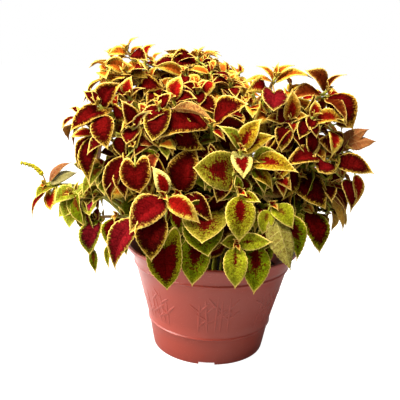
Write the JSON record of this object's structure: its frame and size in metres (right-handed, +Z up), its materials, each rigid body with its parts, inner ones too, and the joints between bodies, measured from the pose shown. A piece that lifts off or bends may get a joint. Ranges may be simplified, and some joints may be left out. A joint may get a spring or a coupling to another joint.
{
  "type": "potted coleus",
  "caption": "Bushy potted coleus: leafy square-stemmed shoots in red, gold and lime spread over the rim of a round, flared plastic pot, for a balcony, windowsill or bedding display.",
  "frame": {"origin": "the middle of the whole plant's outline seen from above, on the plane that the pot stands on", "axes": "+Z up; -Y the front, where the longest leaves hang over the rim; +X to the right, seen from the front"},
  "size_m": [0.3392, 0.254, 0.3153],
  "materials": {
    "pot_plastic": "satin",
    "potting_soil": "matte",
    "foliage": "satin"
  },
  "bodies": {
    "root": {"pot": "pot_plastic", "soil": "potting_soil", "shoot_back_1": "foliage", "shoot_back_10": "foliage", "shoot_back_11": "foliage", "shoot_back_12": "foliage", "shoot_back_13": "foliage", "shoot_back_14": "foliage", "shoot_back_2": "foliage", "shoot_back_3": "foliage", "shoot_back_4": "foliage", "shoot_back_5": "foliage", "shoot_back_6": "foliage", "shoot_back_7": "foliage", "shoot_back_8": "foliage", "shoot_back_9": "foliage", "shoot_crown_left": "foliage", "shoot_front_1": "foliage", "shoot_front_2": "foliage", "shoot_front_3": "foliage", "shoot_front_4": "foliage", "shoot_front_5": "foliage", "shoot_front_6": "foliage", "shoot_front_7": "foliage", "shoot_front_8": "foliage", "shoot_left_1": "foliage", "shoot_left_2": "foliage", "shoot_left_3": "foliage", "shoot_left_4": "foliage", "shoot_left_5": "foliage", "shoot_left_6": "foliage", "shoot_left_7": "foliage", "shoot_left_8": "foliage", "shoot_left_9": "foliage", "shoot_left_spike": "foliage", "shoot_middle_1": "foliage", "shoot_middle_2": "foliage", "shoot_middle_3": "foliage", "shoot_middle_4": "foliage", "shoot_middle_5": "foliage", "shoot_middle_6": "foliage", "shoot_middle_7": "foliage", "shoot_middle_8": "foliage", "shoot_right_1": "foliage", "shoot_right_2": "foliage", "shoot_right_3": "foliage", "shoot_right_4": "foliage", "shoot_right_5": "foliage", "shoot_right_6": "foliage", "shoot_right_7": "foliage", "shoot_right_8": "foliage", "shoot_right_9": "foliage", "shoot_top_1": "foliage", "shoot_top_2": "foliage", "shoot_top_3": "foliage", "shoot_top_4": "foliage", "shoot_top_5": "foliage", "shoot_top_6": "foliage", "shoot_top_7": "foliage", "shoot_top_8": "foliage"}
  },
  "joints": []
}
